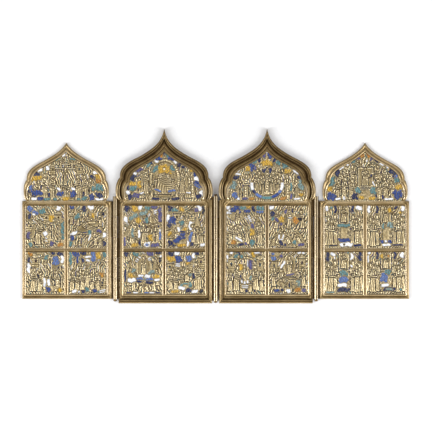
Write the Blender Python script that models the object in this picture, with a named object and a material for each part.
"""A four-leaf folding travelling icon, cast in brass with enamelled recesses.

The leaves lie open and flat on their backs, fronts up, with their ogee tops toward +Y.
The two outer leaves fold over and nest in shallow trays on the inner leaves. The inner
leaves then close face to face. Sizes are in millimetres until they reach a mesh.
"""

import math
from collections import namedtuple

import bmesh
import bpy
from mathutils import Matrix, Vector

MM = 0.001

# Places of the leaves and hinges across the width
OUTER_AXIS_TO_DOME = 49.5  # outer hinge axis to the middle of the dome on each side of it
CENTRE_TO_DOME = 51.9  # middle hinge axis to the middle of an inner dome
HINGE_GAP = 3.6  # hinge axis to the edge of a leaf
FAR_HALF = 44.4  # middle of an outer dome to the leaf's free edge
NEST_GAP = 0.6  # room round an outer leaf in its tray

# Heights up the leaf, from the lower edge of the inner leaves
TOTAL_HEIGHT = 176.1
OUTER_BOTTOM = 4.3
LOWER_CELLS = (9.3, 51.9)
UPPER_CELLS = (55.7, 98.6)
DOME_FLOOR = 103.0
MULLION_HALF = 2.0
INNER_CELL_EDGE = 41.2
OUTER_CELL_EDGE = 40.4

# Thicknesses
PLATE = 1.8  # metal behind the reliefs
FRAME_TOP = 3.2
RIM_TOP = 7.0
GROOVE_DEPTH = 0.9
RELIEF = 1.15  # how far the reliefs rise from the plate
CUT_TOP = RIM_TOP + 1.0  # where cutters end, clear of the metal
SHOULDER_STEP = 0.1  # how far the shoulder and the foot of the dome part in height

# Hinges
OUTER_AXIS_Z = 3.4
CENTRE_AXIS_Z = 7.15
BARREL_RADIUS = 2.4
BORE_RADIUS = 1.35
PIN_RADIUS = 1.0
PIN_HEAD_RADIUS = 1.8
PIN_HEAD_LENGTH = 1.9
WEB_THICK = 1.8
WEB_BELOW_AXIS = 0.3
WEB_INSET = 0.25  # how much shorter than its barrel a web is at each end
WEB_LAP = 1.2  # how far a web runs into its leaf
WEB_CLEAR = 0.2  # how far a web keeps off the bore
KNUCKLES = 5
KNUCKLE_GAP = 0.4
SLIP = 0.35  # end play of a pin
BLIND = 2.2  # metal that closes the upper end of an outer barrel
OUTER_BARREL = (4.0, 108.0)
CENTRE_BARREL = (2.6, 108.0)
BARREL_SIDES = 14
BORE_SIDES = 8
LOBE_STEPS = 3
OGEE_STEPS = 4
FLAT = math.radians(0.2)  # faces that turn by less than this count as one

OUTER_AXIS_X = CENTRE_TO_DOME + OUTER_AXIS_TO_DOME
OUTER_DOME_X = OUTER_AXIS_X + OUTER_AXIS_TO_DOME
HALF_HEIGHT = TOTAL_HEIGHT / 2

# One dome outline: five named points on its right half, and how far its tip is drawn out.
# The tray stands off the outer leaf by enough for the leaf to swing in past its high rim.
Dome = namedtuple("Dome", "foot lobe cusp bend apex keel")
RIM_DOME = Dome((45.6, 104.2), (49.0, 114.3), (44.6, 126.8), (25.5, 147.8), (0.0, TOTAL_HEIGHT), 1.0)
TRAY_DOME = Dome((42.4, 104.3), (44.7, 114.0), (41.2, 125.0), (22.7, 144.6), (0.0, 166.6), 0.7)
EDGE_DOME = Dome((39.9, 103.2), (43.1, 113.8), (40.0, 124.3), (22.4, 144.0), (0.0, 161.9), 0.3)
FIELD_DOME = Dome((36.8, DOME_FLOOR), (39.0, 111.8), (35.0, 120.8), (19.4, 139.8), (0.0, 152.9), 0.1)

BRASS = (0.42, 0.31, 0.16, 1.0)
PIN_BRASS = (0.36, 0.28, 0.17, 1.0)


# Plane geometry


def bezier(start, pull_a, pull_b, end, steps):
    """Points along a cubic curve, its start included and its end left out."""
    points = []
    for i in range(steps):
        t = i / steps
        weights = ((1 - t) ** 3, 3 * t * (1 - t) ** 2, 3 * t * t * (1 - t), t**3)
        corners = (start, pull_a, pull_b, end)
        points.append(tuple(sum(w * c[k] for w, c in zip(weights, corners)) for k in (0, 1)))
    return points


def dome_half(dome):
    """The right half of a dome, from its foot up to its apex: a lobe, a cusp and an ogee."""
    foot, lobe, cusp, bend, apex, keel = dome
    rise = lobe[1] - foot[1]
    fall = cusp[1] - lobe[1]
    pulls = (lobe[0] - 0.3, foot[1] + 0.3 * rise), (lobe[0], lobe[1] - 0.4 * rise)
    points = bezier(foot, *pulls, lobe, LOBE_STEPS)
    pulls = (lobe[0], lobe[1] + 0.5 * fall), (cusp[0] + 1.2, cusp[1] - 0.2)
    points += bezier(lobe, *pulls, cusp, LOBE_STEPS)
    up = bend[1] - cusp[1]
    pulls = (cusp[0] + 0.7, cusp[1] + 0.48 * up), (cusp[0] - 6.0, bend[1] - 0.3 * up)
    points += bezier(cusp, *pulls, bend, OGEE_STEPS)
    tip = apex[1] - bend[1]
    low_pull = (0.62 - 0.2 * keel) * bend[0], bend[1] + 0.3 * tip
    high_pull = (0.27 - 0.17 * keel) * bend[0], apex[1] - (0.4 + 0.1 * keel) * tip
    points += bezier(bend, low_pull, high_pull, apex, OGEE_STEPS)
    return points + [apex]


def leaf_ring(dome, left, right, bottom, shoulder):
    """A closed outline: a rectangle below the shoulder, and a dome above it."""
    half = dome_half(dome)
    ring = [(-left, bottom), (right, bottom), (right, shoulder)]
    ring += half
    ring += [(-x, y) for x, y in reversed(half[:-1])]
    ring += [(-left, shoulder)]
    return ring


def between(ring_a, ring_b, share):
    """The outline that lies a share of the way from one ring to another."""
    pairs = zip(ring_a, ring_b)
    return [(a[0] + share * (b[0] - a[0]), a[1] + share * (b[1] - a[1])) for a, b in pairs]


def placed(ring, middle_x):
    """An outline moved from its dome's own frame to the object's frame."""
    return [(x + middle_x, y - HALF_HEIGHT) for x, y in ring]


def rectangle(left, right, low, high):
    return [(left, low), (right, low), (right, high), (left, high)]


# Solids


def link(obj, collection):
    collection.objects.link(obj)
    return obj


def slab(name, rings, low, high, collection):
    """A flat outline, with any inner rings as holes, given thickness from low to high."""
    curve = bpy.data.curves.new(name, "CURVE")
    curve.dimensions = "2D"
    curve.fill_mode = "BOTH"
    curve.extrude = (high - low) / 2 * MM
    for ring in rings:
        spline = curve.splines.new("POLY")
        spline.points.add(len(ring) - 1)
        for point, (x, y) in zip(spline.points, ring):
            point.co = (x * MM, y * MM, 0.0, 1.0)
        spline.use_cyclic_u = True
    guide = link(bpy.data.objects.new(name, curve), collection)
    guide.location.z = (low + high) / 2 * MM
    bpy.context.view_layer.update()
    mesh = bpy.data.meshes.new_from_object(guide.evaluated_get(bpy.context.evaluated_depsgraph_get()))
    mesh.transform(guide.matrix_world)
    bpy.data.objects.remove(guide)
    bm = bmesh.new()
    bm.from_mesh(mesh)
    bmesh.ops.remove_doubles(bm, verts=bm.verts, dist=0.00002)
    bmesh.ops.recalc_face_normals(bm, faces=bm.faces)
    bmesh.ops.dissolve_limit(bm, angle_limit=FLAT, verts=bm.verts, edges=bm.edges)
    bm.to_mesh(mesh)
    bm.free()
    return link(bpy.data.objects.new(name, mesh), collection)


def mesh_object(name, bm, collection):
    mesh = bpy.data.meshes.new(name)
    bmesh.ops.recalc_face_normals(bm, faces=bm.faces)
    bm.to_mesh(mesh)
    bm.free()
    return link(bpy.data.objects.new(name, mesh), collection)


def rod(bm, x, z, low, high, radius, sides):
    """A cylinder along Y."""
    turn = Matrix.Rotation(math.pi / 2, 4, "X")
    place = Matrix.Translation(Vector((x, (low + high) / 2, z)) * MM)
    bmesh.ops.create_cone(
        bm,
        cap_ends=True,
        segments=sides,
        radius1=radius * MM,
        radius2=radius * MM,
        depth=(high - low) * MM,
        matrix=place @ turn,
    )


def block(bm, x_range, y_range, z_range):
    spans = (x_range, y_range, z_range)
    middle = Vector([(a + b) / 2 * MM for a, b in spans])
    size = Matrix.Diagonal([abs(b - a) * MM for a, b in spans] + [1.0])
    bmesh.ops.create_cube(bm, size=1.0, matrix=Matrix.Translation(middle) @ size)


def boolean(obj, operation, tool):
    """Cuts or joins an object with a tool, which is an object or a collection of cutters."""
    step = obj.modifiers.new(operation.lower(), "BOOLEAN")
    step.operation = operation
    step.solver = "EXACT"
    step.use_self = operation == "UNION"
    if isinstance(tool, bpy.types.Collection):
        step.operand_type = "COLLECTION"
        step.collection = tool
    else:
        step.object = tool


# The reliefs: low rounded masses that stand on the plate. Each takes its place in the
# leaf's own frame, whose origin is under the dome's middle at the lower edge.


def raised(bm, kind, x, y, half_x, half_y, rise, **settings):
    """A squashed cone, sunk to its middle in the plate: lying as a robe, or facing out."""
    place = Matrix.Translation(Vector((x, y - HALF_HEIGHT, PLATE)) * MM)
    size = Matrix.Diagonal((half_x * MM, half_y * MM, rise * MM, 1.0))
    turn = Matrix.Rotation(-math.pi / 2 if kind == "robe" else 0.0, 4, "X")
    bmesh.ops.create_cone(bm, cap_ends=True, depth=2.0, matrix=place @ size @ turn, **settings)


def disc(bm, x, y, half_x, half_y, rise, sides=10):
    raised(bm, "disc", x, y, half_x, half_y, rise, segments=sides, radius1=1.0, radius2=0.88)


def figure(bm, x, y, height, spread=1.0):
    """A robed figure: a tapering robe, and a head in its halo as a low cone."""
    head = height / 7
    robe = height - 2 * head
    width = 0.17 * height * spread
    raised(bm, "robe", x, y + robe / 2, width, robe / 2, RELIEF, segments=6, radius1=1.0, radius2=0.62)
    neck = y + robe + 0.7 * head
    raised(bm, "disc", x, neck, 1.3 * head, 1.3 * head, RELIEF, segments=6, radius1=1.3, radius2=0.45)


def panel(bm, x, y, half_x, half_y, rise):
    """A flat raised rectangle: a wall, an altar or a bed."""
    low, high = y - half_y - HALF_HEIGHT, y + half_y - HALF_HEIGHT
    block(bm, (x - half_x, x + half_x), (low, high), (PLATE / 2, PLATE + rise))


def group(bm, x_from, x_to, y, height, count):
    """Figures in a row, every second one a little lower."""
    for i in range(count):
        x = x_from + (x_to - x_from) * i / (count - 1)
        figure(bm, x, y, height - 1.5 * (i % 2))


def hills(bm, x, y, half_x, height, count):
    """Stepped rocks, one behind the other."""
    for i in range(count):
        place = x - half_x + 2 * half_x * (i + 0.5) / count
        disc(bm, place, y + 0.3 * height * (i % 2), 1.1 * half_x / count, height, 0.6 * RELIEF, 8)


def arcade(bm, x, y, half_x, height):
    """Two towers joined by a lintel."""
    for side in (-1, 1):
        panel(bm, x + side * half_x, y + height / 2, 2.2, height / 2, 0.7 * RELIEF)
    panel(bm, x, y + height, half_x + 2.2, 1.5, 0.8 * RELIEF)


def tall_cross(bm, x, y, height, arm):
    """An eight-pointed cross: a post, a title bar, a long arm and a slanting foot rest."""
    panel(bm, x, y + height / 2, 1.1, height / 2, RELIEF)
    for share, reach in ((0.94, 0.32), (0.8, 1.0), (0.28, 0.4)):
        panel(bm, x, y + share * height, reach * arm, 0.9, RELIEF)


def tended_icon(bm, x, y):
    """An image on a stand, with people in rows on both sides."""
    panel(bm, x, y + 29.0, 5.4, 7.2, RELIEF)
    disc(bm, x, y + 30.5, 2.6, 3.2, 1.05 * RELIEF + 0.2, 10)
    panel(bm, x, y + 12.0, 4.0, 5.5, 0.7 * RELIEF)
    for side in (-1, 1):
        figure(bm, x + side * 8.6, y + 5.0, 25.0)
        figure(bm, x + side * 15.2, y + 4.0, 29.0)


# The themes of the twenty fields


def left_outer_reliefs(bm, cell):
    tall_cross(bm, 0.0, DOME_FLOOR + 1.0, 38.0, 9.5)
    for side in (-1, 1):
        figure(bm, side * 14.0, DOME_FLOOR + 2.0, 28.0)
        figure(bm, side * 24.0, DOME_FLOOR + 2.0, 25.0)
    x, y = cell(0, 1)
    figure(bm, x - 9.0, y + 4.0, 31.0)
    figure(bm, x + 6.0, y + 4.0, 27.0)
    panel(bm, x + 15.0, y + 18.0, 3.0, 17.0, 0.7 * RELIEF)
    x, y = cell(1, 1)
    hills(bm, x, y + 27.0, 16.0, 9.0, 4)
    disc(bm, x, y + 18.0, 9.5, 4.0, RELIEF)
    group(bm, x - 12.0, x + 12.0, y + 2.0, 13.0, 3)
    x, y = cell(0, 0)
    arcade(bm, x + 8.0, y + 3.0, 8.0, 30.0)
    figure(bm, x - 12.0, y + 3.0, 21.0)
    figure(bm, x + 8.0, y + 4.0, 24.0)
    disc(bm, x - 8.0, y + 30.0, 8.0, 6.0, RELIEF)
    x, y = cell(1, 0)
    arcade(bm, x, y + 2.0, 16.0, 35.0)
    group(bm, x - 11.0, x + 11.0, y + 5.0, 27.0, 4)


def left_inner_reliefs(bm, cell):
    disc(bm, 0.0, DOME_FLOOR + 22.0, 17.0, 19.0, 0.5 * RELIEF, 16)
    figure(bm, 0.0, DOME_FLOOR + 9.0, 27.0, spread=1.5)
    for side in (-1, 1):
        figure(bm, side * 24.0, DOME_FLOOR + 6.0, 24.0)
    x, y = cell(0, 1)
    group(bm, x - 13.0, x + 5.0, y + 3.0, 26.0, 3)
    figure(bm, x + 13.5, y + 5.0, 21.0)
    hills(bm, x, y + 33.0, 14.0, 5.0, 3)
    x, y = cell(1, 1)
    figure(bm, x + 2.0, y + 7.0, 29.0)
    disc(bm, x - 9.0, y + 14.0, 7.0, 5.5, RELIEF)
    hills(bm, x + 10.0, y + 16.0, 7.0, 14.0, 2)
    x, y = cell(0, 0)
    disc(bm, x, y + 29.0, 7.0, 9.0, 0.6 * RELIEF)
    figure(bm, x, y + 21.0, 18.0)
    group(bm, x - 14.0, x + 14.0, y + 4.0, 20.0, 4)
    x, y = cell(1, 0)
    group(bm, x - 15.0, x + 1.0, y + 5.0, 24.0, 3)
    figure(bm, x + 12.5, y + 6.0, 29.0)
    disc(bm, x + 1.0, y + 6.5, 8.0, 3.0, RELIEF)


def right_inner_reliefs(bm, cell):
    disc(bm, 0.0, DOME_FLOOR + 20.0, 15.0, 15.0, 0.5 * RELIEF, 16)
    group(bm, -8.0, 8.0, DOME_FLOOR + 9.0, 22.0, 3)
    for side in (-1, 1):
        group(bm, side * 20.0, side * 29.0, DOME_FLOOR + 3.0, 23.0, 2)
    x, y = cell(0, 1)
    group(bm, x - 14.0, x + 2.0, y + 4.0, 24.0, 3)
    figure(bm, x + 12.0, y + 5.0, 30.0)
    disc(bm, x - 6.0, y + 35.0, 9.0, 4.5, RELIEF)
    x, y = cell(1, 1)
    disc(bm, x + 1.0, y + 24.0, 8.0, 12.0, 0.5 * RELIEF)
    figure(bm, x + 1.0, y + 14.0, 22.0)
    for side in (-1, 1):
        figure(bm, x + side * 14.0, y + 4.0, 22.0)
    x, y = cell(0, 0)
    arcade(bm, x, y + 2.0, 15.5, 34.0)
    figure(bm, x - 8.0, y + 6.0, 26.0)
    figure(bm, x + 7.0, y + 5.0, 24.0)
    x, y = cell(1, 0)
    group(bm, x - 14.0, x + 14.0, y + 15.0, 23.0, 4)
    disc(bm, x, y + 8.5, 15.0, 4.2, RELIEF)


def right_outer_reliefs(bm, cell):
    panel(bm, 0.0, DOME_FLOOR + 24.0, 7.0, 9.0, RELIEF)
    disc(bm, 0.0, DOME_FLOOR + 26.0, 3.4, 4.2, 1.05 * RELIEF + 0.2, 10)
    for side in (-1, 1):
        group(bm, side * 12.0, side * 29.0, DOME_FLOOR + 3.0, 24.0, 3)
    for column in (0, 1):
        for row in (0, 1):
            tended_icon(bm, *cell(column, row))


# Leaves


def cell_place(edge):
    """A function from a cell's column and row to the middle of its lower side."""

    def cell(column, row):
        side = 1 if column else -1
        return side * (edge + MULLION_HALF) / 2, (LOWER_CELLS, UPPER_CELLS)[row][0]

    return cell


def cut_fields(name, dome_x, edge, cutters):
    """Sinks the dome field and the four cells down to the plate."""
    half = dome_half(FIELD_DOME)
    dome = half + [(-x, y) for x, y in reversed(half[:-1])]
    slab(name + "_dome_cut", [placed(dome, dome_x)], PLATE, CUT_TOP, cutters)
    for left, right in ((-edge, -MULLION_HALF), (MULLION_HALF, edge)):
        for low, high in (LOWER_CELLS, UPPER_CELLS):
            ring = placed(rectangle(left, right, low, high), dome_x)
            slab(name + "_cell_cut", [ring], PLATE, CUT_TOP, cutters)


def groove(name, ring_a, ring_b, shares, dome_x, low, cutters):
    """Sinks a groove between two rings, which leaves a bead on each side of it."""
    rings = [placed(between(ring_a, ring_b, share), dome_x) for share in shares]
    slab(name, rings, low, CUT_TOP, cutters)


def inner_leaf_solids(name, side):
    """The blank of a leaf beside the middle hinge, and its cutters, with the tray."""
    dome_x = side * CENTRE_TO_DOME
    hinge_half = OUTER_AXIS_TO_DOME - HINGE_GAP
    centre_half = CENTRE_TO_DOME - HINGE_GAP
    tray_half = FAR_HALF + NEST_GAP

    def ring(dome, toward_centre, toward_hinge, bottom, shoulder):
        left, right = (toward_centre, toward_hinge)[::side]
        return leaf_ring(dome, left, right, bottom, shoulder)

    rim = ring(RIM_DOME, centre_half, hinge_half, 0.0, RIM_DOME.foot[1] + SHOULDER_STEP)
    bottom = OUTER_BOTTOM - NEST_GAP
    tray = ring(TRAY_DOME, tray_half, hinge_half + NEST_GAP, bottom, TRAY_DOME.foot[1])
    floor = ring(TRAY_DOME, tray_half, hinge_half - NEST_GAP / 2, bottom, TRAY_DOME.foot[1])
    field = ring(FIELD_DOME, INNER_CELL_EDGE, INNER_CELL_EDGE, LOWER_CELLS[0], UPPER_CELLS[1])
    body = slab(name, [placed(rim, dome_x)], 0.0, RIM_TOP, LEAVES)
    cutters = new_collection(name + "_cutters", TOOLS)
    slab(name + "_tray_cut", [placed(tray, dome_x)], FRAME_TOP, CUT_TOP, cutters)
    groove(name + "_rim_groove", rim, tray, (0.4, 0.66), dome_x, RIM_TOP - GROOVE_DEPTH, cutters)
    groove(name + "_low_groove", floor, field, (0.35, 0.62), dome_x, FRAME_TOP - GROOVE_DEPTH, cutters)
    cut_fields(name, dome_x, INNER_CELL_EDGE, cutters)
    return body, cutters, dome_x, INNER_CELL_EDGE


def outer_leaf_solids(name, side):
    """The blank of a leaf at the end of the row, thin enough for the tray, and its cutters."""
    dome_x = side * OUTER_DOME_X
    hinge_half = OUTER_AXIS_TO_DOME - HINGE_GAP
    left, right = (hinge_half, FAR_HALF)[::side]
    edge = leaf_ring(EDGE_DOME, left, right, OUTER_BOTTOM, EDGE_DOME.foot[1] - SHOULDER_STEP)
    field = leaf_ring(FIELD_DOME, OUTER_CELL_EDGE, OUTER_CELL_EDGE, LOWER_CELLS[0], UPPER_CELLS[1])
    body = slab(name, [placed(edge, dome_x)], 0.0, FRAME_TOP, LEAVES)
    cutters = new_collection(name + "_cutters", TOOLS)
    groove(name + "_groove", edge, field, (0.36, 0.64), dome_x, FRAME_TOP - GROOVE_DEPTH, cutters)
    cut_fields(name, dome_x, OUTER_CELL_EDGE, cutters)
    return body, cutters, dome_x, OUTER_CELL_EDGE


def relief_solids(name, reliefs, dome_x, edge):
    carved = bmesh.new()
    reliefs(carved, cell_place(edge))
    bmesh.ops.translate(carved, verts=carved.verts, vec=(dome_x * MM, 0, 0))
    return mesh_object(name + "_reliefs", carved, TOOLS)


# Hinges


def pin_span(barrel, through):
    """Where a pin's bore runs along Y: an outer barrel is closed at its upper end."""
    return barrel[0] - HALF_HEIGHT, barrel[1] - HALF_HEIGHT - (0.0 if through else BLIND)


def knuckle_spans(barrel, first):
    """Lengths along Y of every second knuckle of a barrel, counted from its lower end."""
    low, high = barrel
    pitch = (high - low) / KNUCKLES
    starts = [low + i * pitch - HALF_HEIGHT for i in range(first, KNUCKLES, 2)]
    return [(start + KNUCKLE_GAP / 2, start + pitch - KNUCKLE_GAP / 2) for start in starts]


def hinge_solids(name, hinges):
    """Barrels with webs to the leaf, and the bores for their pins, as two objects."""
    joined, bored = bmesh.new(), bmesh.new()
    for axis_x, axis_z, barrel, first, toward in hinges:
        top = axis_z - WEB_BELOW_AXIS
        ends = (BORE_RADIUS + WEB_CLEAR, HINGE_GAP + WEB_LAP)
        reach = sorted(axis_x + toward * end for end in ends)
        for low, high in knuckle_spans(barrel, first):
            rod(joined, axis_x, axis_z, low, high, BARREL_RADIUS, BARREL_SIDES)
            block(joined, reach, (low + WEB_INSET, high - WEB_INSET), (top - WEB_THICK, top))
        low, high = pin_span(barrel, through=axis_x == 0.0)
        rod(bored, axis_x, axis_z, low - 2 * SLIP, high + SLIP, BORE_RADIUS, BORE_SIDES)
    return mesh_object(name + "_knuckles", joined, TOOLS), mesh_object(name + "_bores", bored, TOOLS)


def hinge_pin(name, axis, barrel):
    """A drawn wire through the knuckles, with a head where it comes out."""
    through = axis.x == 0.0
    low, high = pin_span(barrel, through)
    shank, heads = bmesh.new(), bmesh.new()
    top = high + SLIP + PIN_HEAD_LENGTH / 2 if through else high
    rod(shank, 0.0, 0.0, low - SLIP - PIN_HEAD_LENGTH / 2, top, PIN_RADIUS, BORE_SIDES)
    rod(heads, 0.0, 0.0, low - SLIP - PIN_HEAD_LENGTH, low - SLIP, PIN_HEAD_RADIUS, BARREL_SIDES)
    if through:
        rod(heads, 0.0, 0.0, high + SLIP, high + SLIP + PIN_HEAD_LENGTH, PIN_HEAD_RADIUS, BARREL_SIDES)
    pin = mesh_object(name, shank, LEAVES)
    ends = mesh_object(name + "_heads", heads, TOOLS)
    pin.location = axis
    ends.location = axis
    boolean(pin, "UNION", ends)
    pin.data.materials.append(metal(name + "_wire", PIN_BRASS, 0.4))


def metal(name, colour, roughness):
    material = bpy.data.materials.new(name)
    material.use_nodes = True
    shader = material.node_tree.nodes["Principled BSDF"]
    shader.inputs["Base Color"].default_value = colour
    shader.inputs["Metallic"].default_value = 1.0
    shader.inputs["Roughness"].default_value = roughness
    return material


def new_collection(name, parent):
    collection = bpy.data.collections.new(name)
    parent.children.link(collection)
    return collection


for old in list(bpy.data.objects):
    bpy.data.objects.remove(old)

LEAVES = new_collection("tetraptych", bpy.context.scene.collection)
TOOLS = new_collection("cutters", bpy.context.scene.collection)

LEFT_AXIS = Vector((-OUTER_AXIS_X, 0.0, OUTER_AXIS_Z)) * MM
MIDDLE_AXIS = Vector((0.0, 0.0, CENTRE_AXIS_Z)) * MM
RIGHT_AXIS = Vector((OUTER_AXIS_X, 0.0, OUTER_AXIS_Z)) * MM

# Each leaf: its blank, its side, its reliefs, its own axis, and the first of its knuckles
# on the outer and on the middle hinge
LEAF_PLAN = (
    ("left_outer_leaf", outer_leaf_solids, -1, left_outer_reliefs, LEFT_AXIS, 1, None),
    ("left_inner_leaf", inner_leaf_solids, -1, left_inner_reliefs, Vector(), 0, 0),
    ("right_inner_leaf", inner_leaf_solids, 1, right_inner_reliefs, MIDDLE_AXIS, 0, 1),
    ("right_outer_leaf", outer_leaf_solids, 1, right_outer_reliefs, RIGHT_AXIS, 1, None),
)

joins = []
for name, blank, side, reliefs, axis, outer_first, centre_first in LEAF_PLAN:
    body, cutters, dome_x, edge = blank(name, side)
    toward = side if blank is outer_leaf_solids else -side
    hinges = [(side * OUTER_AXIS_X, OUTER_AXIS_Z, OUTER_BARREL, outer_first, toward)]
    if centre_first is not None:
        hinges.append((0.0, CENTRE_AXIS_Z, CENTRE_BARREL, centre_first, side))
    knuckles, bores = hinge_solids(name, hinges)
    carving = relief_solids(name, reliefs, dome_x, edge)
    joins.append((body, cutters, carving, knuckles, bores))
    body.data.transform(Matrix.Translation(-axis))
    body.location = axis
    body.data.materials.append(metal(name + "_brass", BRASS, 0.42))

hinge_pin("left_hinge_pin", LEFT_AXIS, OUTER_BARREL)
hinge_pin("middle_hinge_pin", MIDDLE_AXIS, CENTRE_BARREL)
hinge_pin("right_hinge_pin", RIGHT_AXIS, OUTER_BARREL)

# The Booleans come last, so that making an outline doesn't work them all out again
for body, cutters, carving, knuckles, bores in joins:
    boolean(body, "DIFFERENCE", cutters)
    boolean(body, "UNION", carving)
    boolean(body, "UNION", knuckles)
    boolean(body, "DIFFERENCE", bores)
    merged = body.modifiers.new("merged", "DECIMATE")
    merged.decimate_type = "DISSOLVE"
    merged.angle_limit = FLAT

for tool in TOOLS.all_objects:
    tool.hide_render = True
    tool.display_type = "WIRE"
